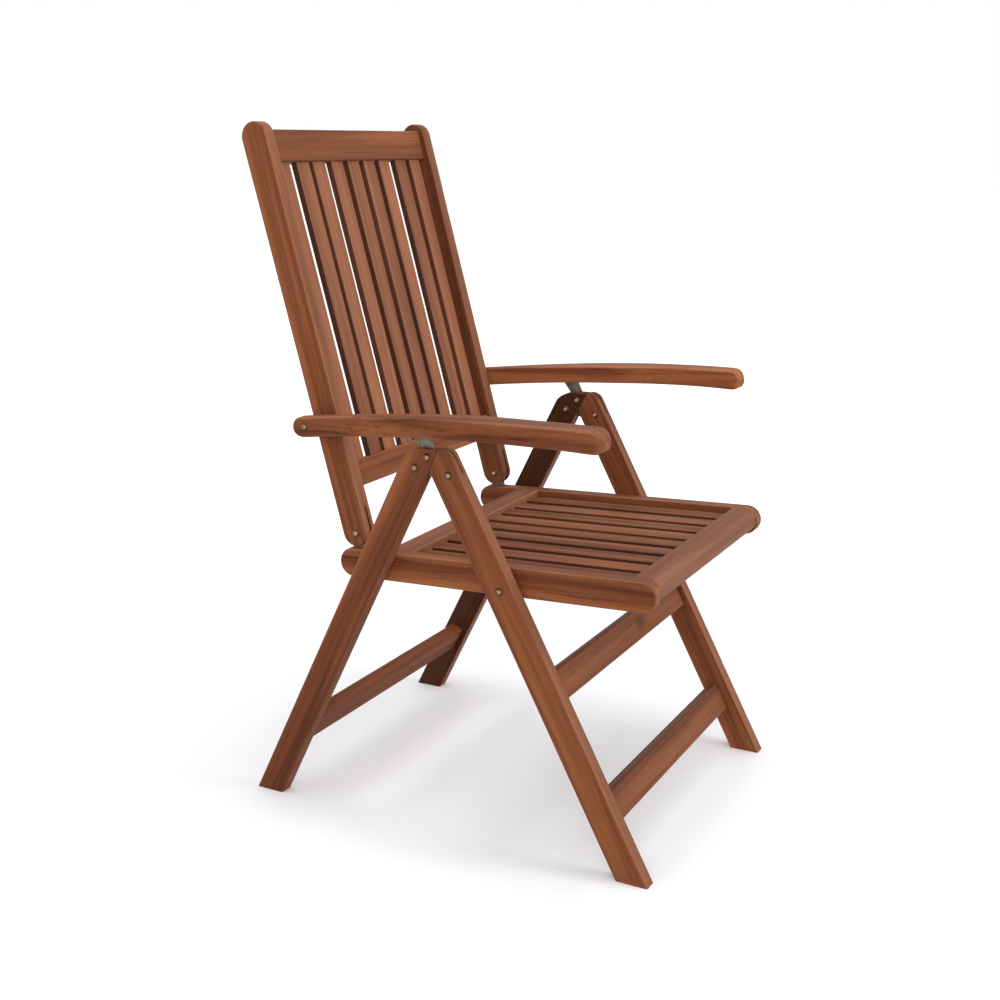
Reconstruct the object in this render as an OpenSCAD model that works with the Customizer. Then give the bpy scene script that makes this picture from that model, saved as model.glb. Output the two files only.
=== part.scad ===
// Folding, reclining slatted armchair in oiled hardwood, standing open with its back upright.
// Everything is placed in one side view: u runs forward from a point under the back of the rear foot,
// z runs up from the floor, and x runs across the chair with zero on its middle plane.
// The chair faces -Y, its left side is +X, and millimetres are used throughout.

/* [Boards] */
// width of the legs and the back stiles, seen from the side
board_w = 46.8; // [44:0.1:49]
// thickness of every board, across the chair
board_t = 24; // [20:0.5:26]
// width of the two long seat rails, seen from the side
rail_w = 46.8; // [44:0.1:49]
// rounding along the long edges of legs, stiles and rails
edge_r = 3; // [1:0.5:6]
// width of one slat, the same in the seat and the back
slat_w = 34; // [28:0.5:36]
// spacing of the slats, centre to centre
slat_pitch = 47.5; // [46.5:0.1:48]
// thickness of a back slat
back_slat_t = 11.5; // [8:0.5:13]
// thickness of a seat slat
seat_slat_t = 9; // [7:0.5:10]
// rounding along a slat's edges
slat_r = 2; // [1:0.25:3.5]
// depth of the mortise that holds each end of a slat
mortise = 10; // [6:1:14]

/* [Across the chair] */
// clear width between the two stiles, and between the two seat rails
inner_w = 437.2; // [430:0.2:444]
// gap between a seat rail or stile and the leg beside it
side_gap = 7.4; // [6:0.1:9]

/* [Rear legs] */
// lean of the rear legs, up from the floor towards the front
rear_lean = 63; // [60:0.5:66]
// height of the rear legs' tops
rear_top = 630.5; // [625:0.5:636]
// distance along the rear leg to the upper end of the guide groove
groove_top_l = 466.5; // [464:0.5:470]

/* [Front legs] */
// lean of the front legs, up from the floor towards the back
front_lean = 117.64; // [116:0.1:119]
// where the front foot's front corner meets the floor
front_foot = 718.7; // [712:0.1:725]
// height of the front legs' tops
front_top = 631.5; // [626:0.5:637]
// gap between the two leg tops where they butt
butt_gap = 0.9; // [0.8:0.1:1.4]

/* [Seat] */
// upward tilt of the seat from back to front
seat_tilt = 2.04; // [0:0.1:4]
// how far the slats' tops lie below the tops of the rails
seat_drop = 9.8; // [8:0.1:11]

/* [Back] */
// lean of the stiles from the floor, over 90 is rearward
back_lean = 105; // [100:0.1:110]
// length of a stile above its lower hinge
stile_l = 655; // [645:1:662]

/* [Arms] */
// radius of an arm's rounded rear end
arm_end_r = 16; // [14:0.5:18]
// rounding along an arm's edges
arm_r = 5; // [2:0.5:8]
// how far each arm swings outward of the leg at its front
arm_flare = 34; // [20:0.5:38]
// width of the groove under each arm that the hinge plate works in
arm_groove = 12.6; // [12:0.2:13]

/* [Steel] */
// thickness of the hinge plate between the leg tops
plate_t = 3; // [2.5:0.5:3.5]
// thickness of the tab that joins the seat and the back
tab_t = 4; // [3:0.5:4.5]
// radius of every pivot bolt
bolt_r = 4; // [3:0.5:4]
// radius of a bolt's domed head
head_r = 6.5; // [5:0.5:7]
// radial clearance of a running fit
fit = 0.05; // [0.02:0.01:0.09]

/* [Hidden] */
$fn = 48;
foot_w = board_w / sin(rear_lean);
rear_pt = [48.3, 0];
u_mid = (front_foot + rear_pt[0] - foot_w) / 2;
in_x = inner_w / 2;
rail_x = in_x + board_t;
leg_x = rail_x + side_gap;
out_x = leg_x + board_t;
mid_x = leg_x + board_t / 2;

front_pt = [front_foot, 0];
hub = [387.5, 593.9];
seat_pv = [472, 425.8];
back_pv = [196.5, 472];
arm_pv = [128.4, 644.3];
pin_pt = [327, 659];
bolt_a = [328.9, 599.7];
bolt_b = [351, 617.9];

seat_lo = -17;
seat_hi = seat_lo + rail_w;
seat_back = -307.5;
seat_front = 236.5;
rear_bar_s = -226.5;
front_bar_s = 193.7;
bar_w = 43;
stile_f = -22.4;
stile_end_l = 1.5;
stile_b = stile_f + board_w;
stile_c = (stile_f + stile_b) / 2;
rail_f = -12.3;
back_slat_f = -5.8;
low_lo = 69;
low_hi = 110.5;
top_lo = 590.1;
top_hi = 640.5;
rack_z = 665.4;
rack_u = [327, 349.8, 371.7, 392.6, 412.3];
arm_nose = 651;
// uneven spacing of the back slats, from the right side to the left
back_shift = [4.5, 0, 4, 0.5, 1, 1, 3, -3.5, -3.5];

wood_a = [0.48, 0.27, 0.17];
wood_b = [0.44, 0.24, 0.15];
wood_c = [0.53, 0.31, 0.19];
steel_c = [0.55, 0.56, 0.54];
brass_c = [0.45, 0.38, 0.25];

// Placing

// turns the side view upright on the chair's right side: x forward, y up, z out from the middle
module side_view() {
  translate([0, u_mid, 0]) rotate([90, 0, -90]) children();
}

// a flat outline of the side view, given thickness from a to b out from the middle plane
module across(a, b) {
  side_view() translate([0, 0, a]) linear_extrude(b - a) children();
}

// a round bar across the chair at a point of the side view
module rod(p, a, b, r) {
  side_view() translate([p[0], p[1], a]) cylinder(h = b - a, r = r);
}

// rectangle with four rounded corners
module round_rect(x0, x1, y0, y1, r) {
  translate([x0 + r, y0]) square([x1 - x0 - 2 * r, y1 - y0]);
  translate([x0, y0 + r]) square([x1 - x0, y1 - y0 - 2 * r]);
  for (x = [x0 + r, x1 - r]) {
    for (y = [y0 + r, y1 - r]) {
      translate([x, y]) circle(r);
    }
  }
}

// a board along a sloping line: l along it, w square to it, t out from the middle plane
module board(p, ang, l0, l1, w0, w1, t0, t1, r) {
  side_view() translate([p[0], p[1], 0]) rotate([0, 0, ang]) translate([l0, 0, 0])
    rotate([90, 0, 90]) linear_extrude(l1 - l0) round_rect(w0, w1, t0, t1, r);
}

// half a disc with a rounded rim, closing a board's end
module board_end(p, ang, l, w, rad, t0, t1, r, turn) {
  side_view() translate([p[0], p[1], 0]) rotate([0, 0, ang]) translate([l, w, t0])
    rotate([0, 0, turn]) rotate_extrude(angle = 180) {
      square([rad - r, t1 - t0]);
      translate([0, r]) square([rad, t1 - t0 - 2 * r]);
      for (y = [r, t1 - t0 - r]) {
        translate([rad - r, y]) circle(r);
      }
    }
}

function unit(v) = v / norm(v);

// what a rounding of radius r takes off the corner b between the points a and c
module corner_waste(a, b, c, r) {
  ua = unit(a - b);
  uc = unit(c - b);
  half = acos(ua * uc) / 2;
  mid = b + unit(ua + uc) * r / sin(half);
  difference() {
    polygon([b - unit(ua + uc), b + ua * r / tan(half), mid, b + uc * r / tan(half)]);
    translate(mid) circle(r, $fn = 96);
  }
}

// a pair of mirrored solids, one on each side of the chair
module pair() {
  children();
  mirror([1, 0, 0]) children();
}

// domed head or nut: sits on a face at x, rising by h away from the middle for side = 1
module dome(p, x, r, h, side, socket) {
  big = (r * r + h * h) / (2 * h);
  side_view() translate([p[0], p[1], x]) rotate([side > 0 ? 0 : 180, 0, 0])
    difference() {
      intersection() {
        translate([0, 0, h - big]) sphere(r = big, $fn = 64);
        cylinder(h = h + 1, r = r + 1);
      }
      if (socket > 0) {
        translate([0, 0, h * 0.45]) cylinder(h = h, r = socket, $fn = 6);
      }
    }
}

// Rear frame

module rear_leg() {
  top_u = rear_pt[0] + rear_top / tan(rear_lean);
  difference() {
    intersection() {
      board(rear_pt, rear_lean, -60, 760, 0, board_w, leg_x, out_x, edge_r);
      across(leg_x - 1, out_x + 1) difference() {
        translate([-60, 0]) square([500, rear_top]);
        corner_waste([top_u, rear_top], [top_u - foot_w, rear_top], [rear_pt[0] - foot_w, 0], 42);
      }
    }
    // saw slot for the hinge plate
    across(mid_x - 1.9, mid_x + 1.9)
      translate(rear_pt) rotate(rear_lean) translate([648, -10]) square([90, 70]);
    rod(bolt_a, leg_x - 1, out_x + 1, bolt_r);
    rod(bolt_b, leg_x - 1, out_x + 1, bolt_r);
    guide_groove();
  }
}

// blind groove in the leg's inner face that carries the seat's guide pin
module guide_groove() {
  a0 = 270.5;
  b0 = 41.86 - 0.0583 * a0;
  b1 = 41.86 - 0.0583 * groove_top_l;
  len = groove_top_l - a0;
  dir = atan2(b1 - b0, len);
  across(leg_x - 1, leg_x + 9)
    translate(rear_pt) rotate(rear_lean) translate([a0, b0]) rotate(dir) {
      translate([0, -4.8]) square([len, 9.6]);
      circle(4.8);
      translate([len, 0]) circle(4.8);
    }
}

module rear_stretcher() {
  color(wood_b) across(-leg_x, leg_x)
    translate(rear_pt) rotate(rear_lean) round_rect(95, 144.5, 11, 11 + board_t, 3);
}

module hinge_plate() {
  across(mid_x - plate_t / 2, mid_x + plate_t / 2) difference() {
    union() {
      translate(hub) circle(14);
      translate(bolt_a) circle(11);
      translate(pin_pt) circle(7.5);
      polygon([[333.2, 589.6], [385, 580.1], [398.5, 602.6], [372, 626], [358, 629], [349, 648],
               [332.3, 664.3], [319.8, 661], [319.6, 648], [333.5, 630], [319.5, 605]]);
    }
    translate(hub) circle(bolt_r + fit);
    translate(bolt_a) circle(bolt_r);
    translate(bolt_b) circle(bolt_r);
    translate(pin_pt) circle(bolt_r);
  }
}

module plate_bolts() {
  color(brass_c) pair() for (p = [bolt_a, bolt_b]) {
    rod(p, leg_x, out_x, bolt_r);
    dome(p, out_x, head_r, 4, 1, 2.6);
  }
}

module plate_nuts() {
  color(brass_c) pair() for (p = [bolt_a, bolt_b]) {
    dome(p, leg_x, 6, 3.8, -1, 0);
  }
}

module arm_pins() {
  color(steel_c) pair() rod(pin_pt, mid_x - 5.5, mid_x + 5.5, bolt_r);
}

// Front frame

module front_leg() {
  k = 1 / tan(rear_lean);
  m = 1 / tan(180 - front_lean);
  foot_b = front_foot - board_w / sin(front_lean);
  line_u = rear_pt[0] + butt_gap / sin(rear_lean);
  apex_z = (foot_b - line_u) / (k + m);
  top_f = [front_foot - front_top * m, front_top];
  top_b = [line_u + front_top * k, front_top];
  apex = [line_u + apex_z * k, apex_z];
  difference() {
    intersection() {
      board(front_pt, front_lean, -60, 760, 0, board_w, leg_x, out_x, edge_r);
      across(leg_x - 1, out_x + 1) difference() {
        polygon([[line_u, 0], [900, 0], [900, front_top], top_b]);
        corner_waste(front_pt, top_f, top_b, 24);
        corner_waste(top_f, top_b, apex, 1.5);
        corner_waste(top_b, apex, [foot_b, 0], 20);
      }
    }
    // slot that the hinge plate swings in, deeper towards the back edge
    across(mid_x - 1.9, mid_x + 1.9)
      translate(hub) rotate(front_lean)
        polygon([[70, -30], [-6, -30], [-6, -16.8], [-17, -4], [-32, 27], [-32, 50], [70, 50]]);
    rod(hub, leg_x - 1, out_x + 1, bolt_r);
    rod(seat_pv, leg_x - 1, out_x + 1, bolt_r);
  }
}

module front_upper_stretcher() {
  color(wood_b) across(-leg_x, leg_x)
    translate([567.3, 264.5]) rotate(front_lean) round_rect(-4.5, 43, 0, board_t, 3);
}

module front_lower_stretcher() {
  color(wood_a) across(-leg_x, leg_x)
    translate([658, 77.4]) rotate(front_lean) round_rect(0, 48, 0, board_t, 3);
}

module leg_pivot_bolts() {
  color(brass_c) pair() {
    rod(hub, leg_x, out_x, bolt_r);
    dome(hub, out_x, head_r, 4, 1, 2.6);
  }
}

module leg_pivot_nuts() {
  color(brass_c) pair() dome(hub, leg_x, 6, 3.8, -1, 0);
}

module seat_pivot_bolts() {
  color(brass_c) pair() {
    rod(seat_pv, in_x, out_x, bolt_r);
    dome(seat_pv, out_x, head_r, 4, 1, 2.6);
  }
}

module seat_pivot_nuts() {
  color(brass_c) pair() dome(seat_pv, in_x, 6, 4.2, -1, 0);
}

// Seat frame

// a point of the side view, measured along a sloping line from p
function along(q, p, ang) = [
  (q - p) * [cos(ang), sin(ang)],
  (q - p) * [-sin(ang), cos(ang)]
];

// centre of slat i across the chair, counted from the right side
function slat_t(i) = (5 - i) * slat_pitch;
function back_t(i) = slat_t(i) + back_shift[i - 1];

// the seat's own line: s along it from the seat pivot, w square to it
module seat_line() {
  translate(seat_pv) rotate(seat_tilt) children();
}

tab_at = along(back_pv, seat_pv, seat_tilt);
tab_foot = [tab_at[0] - 12, 6.5];
tab_size = [25, seat_hi + 8];
guide_at = [-228, 0];
guide_pt = seat_pv + [guide_at[0] * cos(seat_tilt), guide_at[0] * sin(seat_tilt)];

module seat_rail() {
  mid_w = (seat_lo + seat_hi) / 2;
  end_r = rail_w / 2;
  difference() {
    union() {
      board(seat_pv, seat_tilt, seat_back + end_r, seat_front - end_r,
            seat_lo, seat_hi, in_x, rail_x, edge_r);
      board_end(seat_pv, seat_tilt, seat_front - end_r, mid_w, end_r, in_x, rail_x, edge_r, -90);
      board_end(seat_pv, seat_tilt, seat_back + end_r, mid_w, end_r, in_x, rail_x, edge_r, 90);
    }
    rod(seat_pv, in_x - 1, rail_x + 1, bolt_r + fit);
    rod(guide_pt, rail_x - 8, rail_x + 1, bolt_r);
    across(tab_x0, tab_x1) seat_line() translate(tab_foot) square(tab_size);
    for (s = tab_pin_s) {
      side_view() seat_line() translate([s, 17, in_x - 1]) cylinder(h = 17, r = 2.5);
    }
  }
}

tab_x0 = in_x + (board_t - tab_t) / 2;
tab_x1 = tab_x0 + tab_t;
tab_pin_s = [tab_at[0] - 6, tab_at[0] + 7];

// mortise for one slat centred on c across the chair, opened in the direction of +x of its line
module slat_pocket(x0, x1, y0, t, c) {
  translate([x0, y0, c - slat_w / 2]) cube([x1 - x0, t, slat_w]);
}

seat_slat_w = seat_hi - seat_drop - seat_slat_t;

module seat_front_bar() {
  top = seat_hi - 0.5;
  nose_s = 213.7;
  low = -12;
  color(wood_a) difference() {
    across(-in_x, in_x) seat_line() {
      polygon([[front_bar_s, top], [front_bar_s, 8], [205.5, 8], [205.5, low], [nose_s, low],
               [nose_s, top]]);
      intersection() {
        translate([nose_s, (top + low) / 2]) circle((top - low) / 2, $fn = 96);
        translate([nose_s, low - 5]) square([40, 60]);
      }
    }
    side_view() seat_line() for (i = [1 : 9]) {
      slat_pocket(front_bar_s - 1, front_bar_s + mortise, seat_slat_w, seat_slat_t, slat_t(i));
    }
  }
}

module seat_rear_bar() {
  front_s = rear_bar_s + bar_w;
  color(wood_b) difference() {
    across(-in_x, in_x) seat_line()
      round_rect(rear_bar_s, front_s, seat_hi - 0.5 - board_t, seat_hi - 0.5, 3);
    side_view() seat_line() for (i = [1 : 9]) {
      slat_pocket(front_s - mortise, front_s + 1, seat_slat_w, seat_slat_t, slat_t(i));
    }
  }
}

module seat_slat(i) {
  color(i % 2 == 0 ? wood_a : wood_c)
    board(seat_pv, seat_tilt, rear_bar_s + bar_w - mortise, front_bar_s + mortise,
          seat_slat_w, seat_slat_w + seat_slat_t,
          slat_t(i) - slat_w / 2, slat_t(i) + slat_w / 2, slat_r);
}

module seat_slat_1() { seat_slat(1); }
module seat_slat_2() { seat_slat(2); }
module seat_slat_3() { seat_slat(3); }
module seat_slat_4() { seat_slat(4); }
module seat_slat_5() { seat_slat(5); }
module seat_slat_6() { seat_slat(6); }
module seat_slat_7() { seat_slat(7); }
module seat_slat_8() { seat_slat(8); }
module seat_slat_9() { seat_slat(9); }

// steel tab let into the rail's top, rising into the slot of the stile above it
module hinge_tabs() {
  color(steel_c) pair() across(tab_x0, tab_x1) seat_line() difference() {
    union() {
      translate(tab_foot) square([tab_size[0], tab_at[1] - tab_foot[1]]);
      translate(tab_at + [0.5, 0]) circle(12.5);
    }
    translate(tab_at) circle(bolt_r + fit);
    for (s = tab_pin_s) {
      translate([s, 17]) circle(2.5);
    }
  }
}

module tab_pins() {
  color(steel_c) pair() for (s = tab_pin_s) {
    side_view() seat_line() translate([s, 17, in_x]) cylinder(h = 16, r = 2.5);
  }
}

module guide_pins() {
  color(steel_c) pair() rod(guide_pt, rail_x - 8, leg_x + 8.5, bolt_r);
}

module seat_pivot_washers() {
  color(steel_c) pair() difference() {
    rod(seat_pv, rail_x, leg_x, 9);
    rod(seat_pv, rail_x - 1, leg_x + 1, bolt_r + fit);
  }
}

// Hinge between the seat and the back

module back_hinge_bolts() {
  color(brass_c) pair() {
    rod(back_pv, in_x, rail_x, bolt_r);
    dome(back_pv, rail_x, head_r, 3.2, 1, 2.6);
  }
}

module back_hinge_nuts() {
  color(brass_c) pair() dome(back_pv, in_x, 6, 4.2, -1, 0);
}

// Back frame

arm_on_back = along(arm_pv, back_pv, back_lean);

module back_line() {
  translate(back_pv) rotate(back_lean) children();
}

module back_stile() {
  end_r = board_w / 2;
  difference() {
    union() {
      board(back_pv, back_lean, stile_end_l, stile_l - end_r, stile_f, stile_b,
            in_x, rail_x, edge_r);
      board_end(back_pv, back_lean, stile_l - end_r, stile_c, end_r, in_x, rail_x, edge_r, -90);
      board_end(back_pv, back_lean, stile_end_l, stile_c, end_r, in_x, rail_x, edge_r, 90);
    }
    rod(back_pv, in_x - 1, rail_x + 1, bolt_r + fit);
    // slot for the tab: right through at the foot, and up the front face for folding
    across(tab_x0 - 0.5, tab_x1 + 0.5) back_line()
      polygon([[-30, -30], [39, -30], [39, 16], [13, 16], [13, 30], [-30, 30]]);
    for (w = bracket_w) {
      side_view() back_line() translate([arm_on_back[0], w, rail_x - 12])
        cylinder(h = 13, r = 2.2);
    }
  }
}

bracket_w = [8, -3];

module back_rail(l0, l1, cut) {
  difference() {
    across(-in_x, in_x) back_line() round_rect(l0, l1, rail_f, rail_f + board_t, 3);
    side_view() back_line() for (i = [1 : 9]) {
      if (cut > 0) {
        slat_pocket(l1 - mortise, l1 + 1, back_slat_f, back_slat_t, back_t(i));
      } else {
        slat_pocket(l0 - 1, l0 + mortise, back_slat_f, back_slat_t, back_t(i));
      }
    }
  }
}

module back_top_rail() {
  color(wood_a) back_rail(top_lo, top_hi, -1);
}

module back_bottom_rail() {
  color(wood_b) back_rail(low_lo, low_hi, 1);
}

module back_slat(i) {
  color(i % 2 == 0 ? wood_c : wood_b)
    board(back_pv, back_lean, low_hi - mortise, top_lo + mortise,
          back_slat_f, back_slat_f + back_slat_t,
          back_t(i) - slat_w / 2, back_t(i) + slat_w / 2, slat_r);
}

module back_slat_1() { back_slat(1); }
module back_slat_2() { back_slat(2); }
module back_slat_3() { back_slat(3); }
module back_slat_4() { back_slat(4); }
module back_slat_5() { back_slat(5); }
module back_slat_6() { back_slat(6); }
module back_slat_7() { back_slat(7); }
module back_slat_8() { back_slat(8); }
module back_slat_9() { back_slat(9); }

// steel plate on the stile's outer face, with the stud that an arm turns on
module arm_brackets() {
  color(steel_c) pair() {
    across(rail_x, rail_x + 3) back_line() difference() {
      union() {
        translate(arm_on_back) circle(9.5);
        translate([arm_on_back[0] - 9.5, -10]) square([19, arm_on_back[1] + 10]);
      }
      for (w = bracket_w) {
        translate([arm_on_back[0], w]) circle(2.2);
      }
    }
    rod(arm_pv, rail_x + 3, out_x, bolt_r);
  }
}

module bracket_screws() {
  color(steel_c) pair() for (w = bracket_w) {
    side_view() back_line() translate([arm_on_back[0], w, rail_x - 12]) cylinder(h = 15, r = 2.2);
  }
}

module arm_pivot_nuts() {
  color(brass_c) pair() dome(arm_pv, out_x, head_r, 4, 1, 2.6);
}

module ring(x0, x1) {
  difference() {
    rod(arm_pv, x0, x1, 9.5);
    rod(arm_pv, x0 - 1, x1 + 1, bolt_r + fit);
  }
}

module arm_washers_inner() {
  color(steel_c) pair() ring(rail_x + 3, rail_x + 5.2);
}

module arm_washers_outer() {
  color(steel_c) pair() ring(rail_x + 5.2, leg_x);
}

// Arms

// the arm's lower and upper edge at a place u along the chair
function arm_low(u) = let (d = u - 123)
  625.8 + 0.13024 * d - 0.0000993 * d * d - 0.0000000746 * d * d * d;
function arm_high(u) = let (d = u - 120)
  658.4 + 0.11775 * d - 0.0000832 * d * d - 0.0000000559 * d * d * d;

// how far the arm's outer and inner side swing outward of the leg's two faces
function flare_out(u) = let (d = max(0, u - 190)) arm_flare * d * (0.00433 - 0.00000461 * d);
function flare_in(u) = let (d = max(0, u - 432)) arm_flare * d * (0.00475 - 0.0000127 * d);

tail_c = [119.9, 642.2];
nose_hi_r = 22;
nose_lo_r = 13;
nose_plan_r = 18;
nose_hi = [arm_nose - nose_hi_r, arm_high(arm_nose - nose_hi_r) - nose_hi_r];
nose_lo = [arm_nose - nose_lo_r, arm_low(arm_nose - nose_lo_r) + nose_lo_r];

// how far a side has rounded in, a distance d from the tip, for a rounding of radius r
function inset(d, r) = d >= r ? 0 : r - sqrt(r * r - pow(r - d, 2));

function nose_bottom(u) = u < nose_lo[0] ? arm_low(u)
  : nose_lo[1] - sqrt(max(0, pow(nose_lo_r, 2) - pow(u - nose_lo[0], 2)));

// one station along the arm: place, bottom, top, inner side, outer side
function station(u, low, high, in) =
  [u, low, high, leg_x + flare_in(u) + in, out_x + flare_out(u) - in];

function arm_stations() = [
  for (a = [8 : 13.66 : 91])
    let (h = arm_end_r * sin(a), d = arm_end_r * (1 - cos(a)))
    station(tail_c[0] - arm_end_r + d, tail_c[1] - h, tail_c[1] + h, inset(d, arm_r)),
  for (k = [0 : 21])
    let (u = 128 + k * (nose_hi[0] - 128) / 21)
    station(u, arm_low(u), arm_high(u), 0),
  for (a = [14 : 14 : 84])
    let (u = nose_hi[0] + nose_hi_r * sin(a))
    station(u, nose_bottom(u), nose_hi[1] + nose_hi_r * cos(a), inset(arm_nose - u, nose_plan_r))
];

// one cross section of the arm, round cornered
function arm_ring(st) =
  let (r = min(arm_r, (st[2] - st[1]) / 2 - 0.05, (st[4] - st[3]) / 2 - 0.05))
  [for (q = [0 : 3]) for (k = [0 : 4])
    let (a = q * 90 + k * 22.5,
         z = (q < 2 ? st[2] - r : st[1] + r) + r * sin(a),
         x = (q == 0 || q == 3 ? st[4] - r : st[3] + r) + r * cos(a))
    [st[0], z, x]];

module arm_body() {
  st = arm_stations();
  n = len(st);
  m = 20;
  pts = [for (s = st) for (p = arm_ring(s)) p];
  sides = [for (j = [0 : n - 2]) for (i = [0 : m - 1])
    let (a = j * m + i, b = j * m + (i + 1) % m, c = (j + 1) * m + (i + 1) % m, d = (j + 1) * m + i)
    each [[a, b, c], [a, c, d]]];
  back = [for (i = [m - 1 : -1 : 0]) i];
  front = [for (i = [0 : m - 1]) (n - 1) * m + i];
  side_view() polyhedron(points = pts, faces = concat(sides, [back], [front]));
}

// arm with its pivot bore and the groove that runs over the hinge plate
module arm() {
  difference() {
    arm_body();
    rod(arm_pv, leg_x - 1, out_x + 1, bolt_r + fit);
    across(mid_x - arm_groove / 2, mid_x + arm_groove / 2)
      polygon([[312, 630], [432, 630], [432, rack_z + 7], [312, rack_z + 7]]);
  }
}

// steel rack in the groove: five half round notches, slit along the middle for the plate
module arm_rack() {
  difference() {
    across(mid_x - arm_groove / 2, mid_x + arm_groove / 2)
      polygon([[315, rack_z], [428, rack_z], [428, rack_z + 7], [315, rack_z + 7]]);
    across(mid_x - 2.1, mid_x + 2.1)
      polygon([[310, rack_z - 2], [440, rack_z - 2], [440, rack_z + 4.4], [310, rack_z + 4.4]]);
    for (u = rack_u) {
      rod([u, rack_z], mid_x - 8, mid_x + 8, bolt_r + 0.4);
    }
  }
}

module rear_leg_right() { color(wood_a) rear_leg(); }
module rear_leg_left() { color(wood_a) mirror([1, 0, 0]) rear_leg(); }
module front_leg_right() { color(wood_c) front_leg(); }
module front_leg_left() { color(wood_c) mirror([1, 0, 0]) front_leg(); }
module hinge_plate_right() { color(steel_c) hinge_plate(); }
module hinge_plate_left() { color(steel_c) mirror([1, 0, 0]) hinge_plate(); }
module seat_rail_right() { color(wood_c) seat_rail(); }
module seat_rail_left() { color(wood_c) mirror([1, 0, 0]) seat_rail(); }
module back_stile_right() { color(wood_a) back_stile(); }
module back_stile_left() { color(wood_a) mirror([1, 0, 0]) back_stile(); }
module arm_right() { color(wood_c) arm(); }
module arm_left() { color(wood_c) mirror([1, 0, 0]) arm(); }
module arm_rack_right() { color(steel_c) arm_rack(); }
module arm_rack_left() { color(steel_c) mirror([1, 0, 0]) arm_rack(); }

rear_leg_left();
rear_leg_right();
rear_stretcher();
hinge_plate_left();
hinge_plate_right();
plate_bolts();
plate_nuts();
arm_pins();
front_leg_left();
front_leg_right();
front_upper_stretcher();
front_lower_stretcher();
leg_pivot_bolts();
leg_pivot_nuts();
seat_pivot_bolts();
seat_pivot_nuts();
seat_rail_left();
seat_rail_right();
seat_front_bar();
seat_rear_bar();
seat_slat_1();
seat_slat_2();
seat_slat_3();
seat_slat_4();
seat_slat_5();
seat_slat_6();
seat_slat_7();
seat_slat_8();
seat_slat_9();
hinge_tabs();
tab_pins();
guide_pins();
seat_pivot_washers();
back_hinge_bolts();
back_hinge_nuts();
back_stile_left();
back_stile_right();
back_top_rail();
back_bottom_rail();
back_slat_1();
back_slat_2();
back_slat_3();
back_slat_4();
back_slat_5();
back_slat_6();
back_slat_7();
back_slat_8();
back_slat_9();
arm_brackets();
bracket_screws();
arm_pivot_nuts();
arm_washers_inner();
arm_washers_outer();
arm_left();
arm_right();
arm_rack_left();
arm_rack_right();
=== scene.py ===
import bpy
from math import cos, radians, sin
from mathutils import Matrix, Vector

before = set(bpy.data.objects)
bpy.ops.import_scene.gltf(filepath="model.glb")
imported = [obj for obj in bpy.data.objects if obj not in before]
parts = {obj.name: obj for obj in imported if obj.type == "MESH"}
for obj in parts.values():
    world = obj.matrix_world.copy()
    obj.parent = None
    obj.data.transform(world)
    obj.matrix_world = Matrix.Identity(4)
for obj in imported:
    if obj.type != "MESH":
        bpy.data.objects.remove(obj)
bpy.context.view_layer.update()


# Rear legs: two planed boards of oiled reddish hardwood on edge, leaning forward, with rounded
# long edges, flat sawn feet and a saw slot in each top. The grain runs up the leg. The left
# leg's inner face is much darker with painted shade.
class Tone:
    """A shader socket that can be worked with like a number."""
    tree = None

    def __init__(self, socket):
        self.socket = socket

    @classmethod
    def of(cls, kind, settings=None, out=0, **sockets):
        """Adds a node. Sockets go by name, or by number as n0, n1 and so on."""
        node = cls.tree.nodes.new("ShaderNode" + kind)
        for name, value in (settings or {}).items():
            setattr(node, name, value)
        for name, value in sockets.items():
            numbered = name[0] == "n" and name[1:].isdigit()
            key = int(name[1:]) if numbered else name.replace("_", " ")
            if isinstance(value, Tone):
                cls.tree.links.new(value.socket, node.inputs[key])
            else:
                node.inputs[key].default_value = value
        return cls(node.outputs[out])

    @classmethod
    def maths(cls, op, a, b=0.0, clamp=False):
        return cls.of("Math", {"operation": op, "use_clamp": clamp}, n0=a, n1=b)

    def __add__(self, other):
        return Tone.maths("ADD", self, other)

    def __radd__(self, other):
        return Tone.maths("ADD", other, self)

    def __sub__(self, other):
        return Tone.maths("SUBTRACT", self, other)

    def __rsub__(self, other):
        return Tone.maths("SUBTRACT", other, self)

    def __mul__(self, other):
        return Tone.maths("MULTIPLY", self, other)

    def __rmul__(self, other):
        return Tone.maths("MULTIPLY", other, self)

    def size(self):
        return Tone.maths("ABSOLUTE", self)

    def root(self):
        return Tone.maths("SQRT", self)

    def larger(self, other):
        return Tone.maths("MAXIMUM", self, other)

    def between(self, low, high):
        """Rises smoothly from 0 at low to 1 at high."""
        return Tone.of("MapRange", {"interpolation_type": "SMOOTHSTEP"}, Value=self,
                       From_Min=low, From_Max=high)

    def tint(self, low, high):
        """Mixes two colours by this value."""
        share = Tone.maths("ADD", self, 0.0, clamp=True)
        return Tone.of("Mix", {"data_type": "RGBA"}, out=2, n0=share, n6=low, n7=high)


def split(vector):
    """The three numbers of a vector."""
    return [Tone.of("SeparateXYZ", Vector=vector, out=axis) for axis in "XYZ"]


def colour(r, g, b):
    """A colour read off a screen, 0 to 255, as the renderer's linear value."""
    def linear(level):
        share = level / 255
        return share / 12.92 if share <= 0.04045 else ((share + 0.055) / 1.055) ** 2.4
    return (linear(r), linear(g), linear(b), 1)


def new_finish(name):
    finish = bpy.data.materials.new(name)
    finish.use_nodes = True
    Tone.tree = finish.node_tree
    return finish, finish.node_tree.nodes["Principled BSDF"]


def feed(shader, **sockets):
    for name, value in sockets.items():
        socket = shader.inputs[name.replace("_", " ")]
        if isinstance(value, Tone):
            Tone.tree.links.new(value.socket, socket)
        else:
            socket.default_value = value


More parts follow.
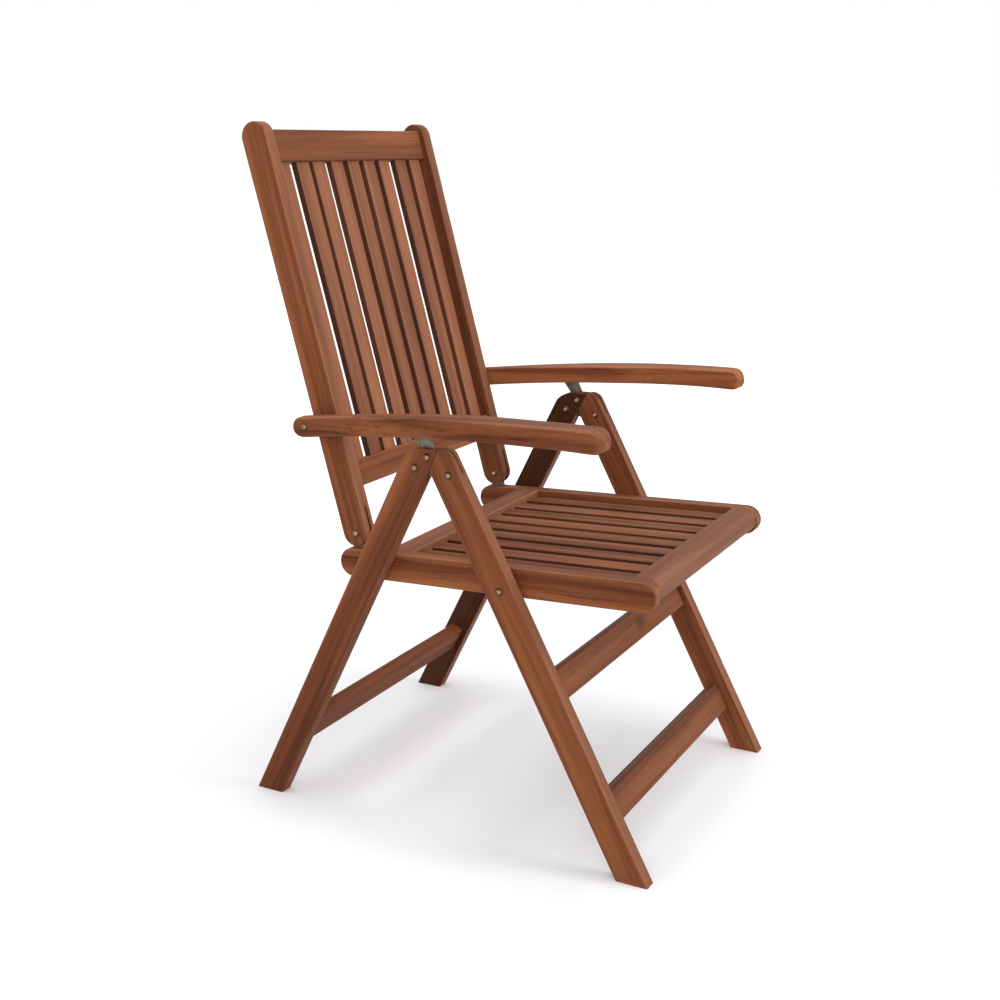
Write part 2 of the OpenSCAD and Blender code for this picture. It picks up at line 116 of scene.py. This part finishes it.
WOOD_DARK = colour(66, 29, 14)
WOOD_MID = colour(134, 75, 44)
WOOD_GOLD = colour(176, 116, 72)
WOOD_PALE = colour(164, 118, 94)
# The darkest brown, used only for painted shade.
WOOD_PAINTED_SHADE = colour(30, 12, 7)
FLAT_ON = (0.35, 0.95)
SEED_SHIFTS = (1.37, 0.53, 0.29)
KNOT_RIM, KNOT_CORE = 0.016, 0.003
KNOT_STRETCH = 0.6
BUMP_DEPTH = 0.0006


def oiled_wood(name, lean, seed, lift=1.0, gold=0.5, side_shade=0.0, across=False, figure=1.0,
               pale=1.0, inner_shade=0.0, knot=None):
    """Hardwood with its grain along a board that leans lean degrees up from forward, or along
    a board that lies across the chair with its width at that lean. lift is its brightness, gold
    the share of golden streaks, figure the strength of dark ones and pale that of a painted
    sheen that makes faces looking forward or up paler. Of the two shade amounts, one paints
    shade on both side faces and the other on the face that looks right. knot is a place."""
    finish, shader = new_finish(name)
    place = Tone.of("TexCoord", out="Object")
    x, y, z = split(place)
    a = radians(lean)
    run, wide, deep = z * sin(a) - y * cos(a), y * sin(a) + z * cos(a), x
    sideways, backward, upward = split(Tone.of("TexCoord", out="Normal"))
    forward = 0.0 - backward
    edge = (upward * cos(a) - forward * sin(a)) * 2.0
    if across:
        run, deep = x, run
        edge = edge * (upward * sin(a) + forward * cos(a))
    else:
        edge = edge * sideways
    run = run + seed * SEED_SHIFTS[0]
    wide = wide + seed * SEED_SHIFTS[1]
    deep = deep + seed * SEED_SHIFTS[2]

    def field(along, across_grain, detail, rough, warp=0.0):
        """Noise with its spots per metre along the grain and across it."""
        spot = Tone.of("CombineXYZ", X=run * along, Y=wide * across_grain, Z=deep * across_grain)
        return Tone.of("TexNoise", {"noise_dimensions": "3D"}, Vector=spot, Scale=1.0,
                       Detail=detail, Roughness=rough, Distortion=warp)

    sway = field(1.6, 5, detail=2, rough=0.5) - 0.5
    wide = wide + sway * 0.022
    deep = deep + sway * 0.014
    broad = field(1.1, 13, detail=2, rough=0.5)
    band = field(1.2, 48, detail=4, rough=0.62, warp=0.3)
    line = field(4, 190, detail=3, rough=0.65)
    pore = field(30, 900, detail=1, rough=0.5)

    body = (band * 0.80 + broad * 0.25 + line * 0.12 - 0.08).between(0.20, 0.62)
    base = body.tint(WOOD_DARK, WOOD_MID)
    streak = (band * 0.65 + line * 0.25 + broad * 0.2).between(0.52, 0.72) * gold
    base = streak.tint(base, WOOD_GOLD)
    dark = line.between(0.54, 0.72) * 0.38 * figure + pore.between(0.60, 0.72) * 0.25
    dark = dark + band.between(0.60, 0.40) * 0.35 * (figure - 1.0)
    base = dark.tint(base, WOOD_DARK)
    # Painted sheen: faces that look forward or up are made paler.
    painted_sheen = forward.larger(upward).between(*FLAT_ON) * (0.12 + band * 0.3) * pale
    # Rounded edges come out a little paler on some bands.
    edge_paler = (edge * edge).between(0.3, 0.9) * band.between(0.35, 0.6) * 0.4
    base = (painted_sheen + edge_paler).tint(base, WOOD_PALE)
    # Painted shade: both side faces are darkened, as in the narrow gaps between slats.
    if side_shade:
        base = (sideways.size().between(*FLAT_ON) * side_shade).tint(base, WOOD_PAINTED_SHADE)
    # Painted shade on the face that looks right.
    if inner_shade:
        shaded_face = (0.0 - sideways).between(*FLAT_ON)
        base = (shaded_face * inner_shade).tint(base, WOOD_PAINTED_SHADE)
    if knot:
        off_x, off_y, off_z = (x - knot[0]) * KNOT_STRETCH, y - knot[1], z - knot[2]
        away = (off_x * off_x + off_y * off_y + off_z * off_z).root()
        base = (away.between(KNOT_RIM, KNOT_CORE) * 0.6).tint(base, WOOD_DARK)
    shade = (broad - 0.5) * 0.22 + lift
    base = Tone.of("VectorMath", {"operation": "SCALE"}, n0=base, Scale=shade)
    relief = line * -0.5 - pore.between(0.58, 0.74) * 0.7
    bump = Tone.of("Bump", Height=relief, Strength=0.22, Distance=BUMP_DEPTH)
    feed(shader, Base_Color=base, Roughness=0.50 + band * 0.14 + line * 0.12, Normal=bump,
         Specular_IOR_Level=0.13)
    return finish


def dress(node, finish):
    """Gives a CAD node its finish."""
    for slot in parts[node].material_slots:
        slot.material = finish


REAR_LEAN = 63.0
dress("rear_leg_right", oiled_wood("rear_leg_right_wood", REAR_LEAN, seed=1.0, lift=0.96,
                                   gold=0.30))
# The left leg's inner face gets painted shade.
dress("rear_leg_left", oiled_wood("rear_leg_left_wood", REAR_LEAN, seed=2.0, lift=0.88,
                                  gold=0.3, inner_shade=0.72))

# Front legs: the same boards leaning back, butted on the rear legs' front edges. Their front
# edges are a little lighter.
FRONT_LEAN = 117.64
dress("front_leg_right", oiled_wood("front_leg_right_wood", FRONT_LEAN, seed=3.4, lift=0.9,
                                    gold=0.35))
dress("front_leg_left", oiled_wood("front_leg_left_wood", FRONT_LEAN, seed=4.0))

# Stretchers: three boards across between the legs, glued and dowelled, with rounded edges.
# The upper front one has a small knot to the left of its middle.
KNOT_PLACE = (0.07, -0.198, 0.28)
dress("rear_stretcher", oiled_wood("rear_stretcher_wood", REAR_LEAN, seed=5.0, lift=0.88,
                                   gold=0.3, across=True, pale=0.2))
dress("front_upper_stretcher", oiled_wood("upper_stretcher_wood", FRONT_LEAN, seed=6.0,
                                          lift=0.9, gold=0.3, across=True, pale=0.3,
                                          knot=KNOT_PLACE))
dress("front_lower_stretcher", oiled_wood("lower_stretcher_wood", FRONT_LEAN, seed=7.0,
                                          lift=0.75, gold=0.25, across=True, pale=0.3))

# Seat: two long rails with rounded ends, a front bar with a round nose, a flat rear bar, and
# nine thin slats let into the bars a little below the rails' tops. Each slat is a board of its
# own, some darker than others.
SEAT_TILT = 2.04
SEAT_SLAT_LIFTS = (0.9, 0.96, 0.82, 0.92, 0.84, 0.9, 0.8, 0.9, 0.86)
dress("seat_rail_right", oiled_wood("seat_rail_right_wood", SEAT_TILT, seed=8.0, lift=1.04,
                                    gold=0.4, figure=1.5, pale=0.6))
dress("seat_rail_left", oiled_wood("seat_rail_left_wood", SEAT_TILT, seed=9.0, lift=0.8,
                                   gold=0.2))
dress("seat_front_bar", oiled_wood("seat_front_bar_wood", SEAT_TILT, seed=10.0, lift=0.73,
                                   gold=0.15, across=True))
dress("seat_rear_bar", oiled_wood("seat_rear_bar_wood", SEAT_TILT, seed=11.0, lift=0.85,
                                  gold=0.2, across=True))
# The slats' side faces get painted shade, as if shaded in the gaps between them.
for k, lift in enumerate(SEAT_SLAT_LIFTS, start=1):
    dress(f"seat_slat_{k}", oiled_wood(f"seat_slat_{k}_wood", SEAT_TILT, seed=20.0 + k,
                                       lift=lift, gold=0.3, side_shade=0.6, figure=1.6, pale=0.5))

# Back: two stiles with round ends, a top rail and a bottom rail between them, and nine thin
# slats let into the rails, set back from the rails' front faces.
BACK_LEAN = 105.0
BACK_SLAT_LIFTS = (1.0, 0.86, 0.97, 0.98, 0.86, 0.96, 0.98, 0.9, 0.96)
dress("back_stile_right", oiled_wood("back_stile_right_wood", BACK_LEAN, seed=12.0, lift=0.96,
                                     gold=0.35))
# The left stile is darker all over: painted shade.
dress("back_stile_left", oiled_wood("back_stile_left_wood", BACK_LEAN, seed=13.0, lift=0.72,
                                    gold=0.3))
dress("back_top_rail", oiled_wood("back_top_rail_wood", BACK_LEAN, seed=14.0, lift=0.92,
                                  gold=0.25, across=True, pale=0.3))
dress("back_bottom_rail", oiled_wood("back_bottom_rail_wood", BACK_LEAN, seed=15.0, lift=0.94,
                                     gold=0.35, across=True, pale=0.3))
# The slats' side faces get painted shade, as if shaded in the gaps between them.
for k, lift in enumerate(BACK_SLAT_LIFTS, start=1):
    dress(f"back_slat_{k}", oiled_wood(f"back_slat_{k}_wood", BACK_LEAN, seed=40.0 + k,
                                       lift=lift, gold=0.35, side_shade=0.6, figure=1.35))

# Arms: boards on edge with softly rounded edges, turning on studs at the stiles, their front
# ends rounded off. Long dark streaks run along them.
ARM_LEAN = 3.2
dress("arm_right", oiled_wood("arm_right_wood", ARM_LEAN, seed=18.5, lift=0.94, gold=0.25,
                              figure=1.7, pale=0.5))
dress("arm_left", oiled_wood("arm_left_wood", ARM_LEAN, seed=17.0, lift=1.14, gold=0.3,
                             figure=1.5, pale=0.2))


# Steel: zinc-plated plates, tabs, pins, washers and racks, dull and a little mottled. No steel
# shows where the cross pins hold the tabs, so those pins are finished as plugged over in wood.
def plated_steel():
    finish, shader = new_finish("plated_steel")
    place = Tone.of("TexCoord", out="Object")
    cloud = Tone.of("TexNoise", Vector=place, Scale=90, Detail=4, Roughness=0.6)
    scratch = Tone.of("TexNoise", Vector=place, Scale=900, Detail=2, Roughness=0.5)
    base = cloud.between(0.3, 0.7).tint(colour(92, 90, 76), colour(136, 132, 114))
    feed(shader, Base_Color=base, Metallic=0.75, Roughness=0.38 + scratch * 0.22)
    return finish


steel = plated_steel()
for node in ("hinge_plate_left", "hinge_plate_right", "arm_pins", "hinge_tabs", "guide_pins",
             "seat_pivot_washers", "arm_brackets", "bracket_screws",
             "arm_washers_inner", "arm_washers_outer", "arm_rack_left", "arm_rack_right"):
    dress(node, steel)
dress("tab_pins", oiled_wood("tab_plug_wood", SEAT_TILT, seed=60.0, lift=0.6, gold=0.1))


# Bolts: domed heads with a hexagon socket and domed nuts, antiqued brass plate, dark, with a
# painted highlight on the crowns.
def antique_brass():
    finish, shader = new_finish("antique_brass")
    place = Tone.of("TexCoord", out="Object")
    cloud = Tone.of("TexNoise", Vector=place, Scale=260, Detail=4, Roughness=0.6)
    facing = Tone.of("TexCoord", out="Normal")
    sideways = Tone.of("SeparateXYZ", Vector=facing, out="X").size()
    # Painted highlight: the heads are lighter where they face straight out along the bolt.
    crown_highlight = sideways.between(0.80, 0.99) * (cloud * 0.6 + 0.7)
    base = crown_highlight.tint(colour(84, 58, 38), colour(196, 158, 112))
    feed(shader, Base_Color=base, Metallic=0.7, Roughness=0.22 + cloud * 0.16)
    return finish


brass = antique_brass()
for node in ("plate_bolts", "plate_nuts", "leg_pivot_bolts", "leg_pivot_nuts",
             "seat_pivot_bolts", "seat_pivot_nuts", "back_hinge_bolts", "back_hinge_nuts",
             "arm_pivot_nuts"):
    dress(node, brass)

# Floor: a plain pale studio floor that keeps the chair's shadow and fades into the white
# surround. It is paler to the eye and in gloss than in the light that it throws back.
FLOOR_HALF = 30
FLOOR_TO_LIGHT = (0.55, 0.55, 0.56, 1)
FLOOR_TO_EYE = (0.92, 0.92, 0.935, 1)
FADE_FROM, FADE_TO = 0.9, 2.2
BLACK, WHITE = (0, 0, 0, 1), (1, 1, 1, 1)
floor_mesh = bpy.data.meshes.new("floor")
corners = [(-FLOOR_HALF, -FLOOR_HALF, 0), (FLOOR_HALF, -FLOOR_HALF, 0),
           (FLOOR_HALF, FLOOR_HALF, 0), (-FLOOR_HALF, FLOOR_HALF, 0)]
floor_mesh.from_pydata(corners, [], [(0, 1, 2, 3)])
floor = bpy.data.objects.new("floor", floor_mesh)
bpy.context.scene.collection.objects.link(floor)
pale, pale_shader = new_finish("pale_floor")
floor_x, floor_y = split(Tone.of("TexCoord", out="Object"))[:2]
reach = (floor_x * floor_x + floor_y * floor_y).root()
to_eye = Tone.of("LightPath", out="Is Camera Ray")
seen = to_eye.larger(Tone.of("LightPath", out="Is Glossy Ray"))
glow = reach.between(FADE_FROM, FADE_TO) * 0.3 * seen
feed(pale_shader, Base_Color=seen.tint(FLOOR_TO_LIGHT, FLOOR_TO_EYE), Roughness=1.0,
     Specular_IOR_Level=0.0, Emission_Color=glow.tint(BLACK, WHITE), Emission_Strength=1.0)
floor_mesh.materials.append(pale)

# Light: a soft lamp overhead that draws the shadow between the feet, one at the camera's back
# and a stronger one in front of the chair. The surround is white to the eye and to reflected
# rays, diffuse ones too. To what else samples it, it is dim, and brighter behind the chair.
BRIGHT_SIDE = (0.88, 0.47, 0.1)
world = bpy.data.worlds.new("studio")
bpy.context.scene.world = world
world.use_nodes = True
Tone.tree = world.node_tree
surround = world.node_tree.nodes["Background"]
surround.inputs["Color"].default_value = WHITE
to_eye = Tone.of("LightPath", out="Is Camera Ray")
shown = to_eye.larger(Tone.of("LightPath", out="Is Reflection Ray"))
behind = Tone.of("VectorMath", {"operation": "DOT_PRODUCT"}, out="Value",
                 n0=Tone.of("TexCoord", out="Generated"), n1=BRIGHT_SIDE)
level = behind.between(-0.1, 0.9) * 0.28 + 0.13
feed(surround, Strength=level.larger(shown))


def lamp(name, place, aim, size, power):
    light = bpy.data.lights.new(name, "AREA")
    light.shape = "DISK"
    light.size = size
    light.energy = power
    stand = bpy.data.objects.new(name, light)
    bpy.context.scene.collection.objects.link(stand)
    stand.location = place
    stand.rotation_euler = (Vector(aim) - Vector(place)).to_track_quat("-Z", "Y").to_euler()


lamp("above", place=(0, -0.05, 5.0), aim=(0, 0, 0), size=0.9, power=36)
lamp("side", place=(-4.8, -2.4, 2.2), aim=(0, 0, 0.45), size=2.6, power=68)
lamp("front", place=(0.9, -5.8, 2.6), aim=(0, 0, 0.5), size=2.6, power=125)

# Camera: where the photograph's board edges and foot contacts put it, turned, dipped and rolled
# by angles in radians.
CAMERA_PLACE = (-1.94095, -1.01991, 1.06425)
TURN, DIP, ROLL = 2.0670353, 0.2564174, -0.0063972
FILM_WIDTH = 36
LENS_TO_FILM = 1.3456288
ahead = Vector((sin(TURN) * cos(DIP), -cos(TURN) * cos(DIP), -sin(DIP)))
side = Vector((-cos(TURN), -sin(TURN), 0))
up = side.cross(ahead)
right = side * cos(ROLL) + up * sin(ROLL)
top = up * cos(ROLL) - side * sin(ROLL)
view = bpy.data.cameras.new("view")
view.sensor_width = FILM_WIDTH
view.lens = FILM_WIDTH * LENS_TO_FILM
eye = bpy.data.objects.new("view", view)
bpy.context.scene.collection.objects.link(eye)
turn = Matrix((right, top, -ahead)).transposed()
eye.matrix_world = Matrix.Translation(CAMERA_PLACE) @ turn.to_4x4()
bpy.context.scene.camera = eye
bpy.context.scene.view_settings.view_transform = "Standard"
